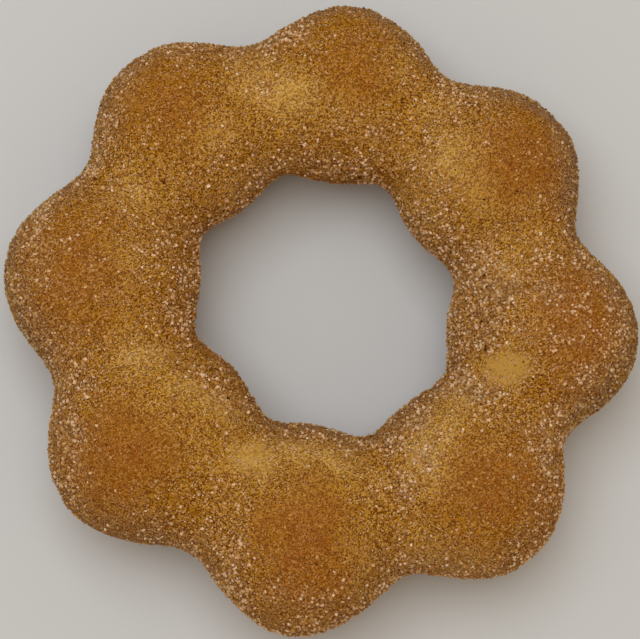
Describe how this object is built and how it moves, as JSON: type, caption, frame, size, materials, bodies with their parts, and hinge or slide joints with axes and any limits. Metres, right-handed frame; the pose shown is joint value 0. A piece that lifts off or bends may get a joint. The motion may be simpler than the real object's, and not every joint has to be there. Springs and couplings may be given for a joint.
{
  "type": "mochi doughnut",
  "caption": "Ring doughnut of fused round balls of fried mochi dough, coated in cinnamon sugar, with an open hole in the middle; lies flat on its foot.",
  "frame": {"origin": "on the surface that the doughnut lies on, under the middle of its outline", "axes": "+Z up out of the resting surface, along the hole; +X right and +Y up as the picture shows it from above"},
  "size_m": [0.09, 0.091, 0.0255],
  "materials": {
    "sugared_crust": "fried golden-brown dough with a dry, grainy coat of cinnamon sugar; browner on the crowns of the balls and paler in the necks between them"
  },
  "bodies": {
    "root": {"doughnut": "sugared_crust"}
  },
  "joints": []
}
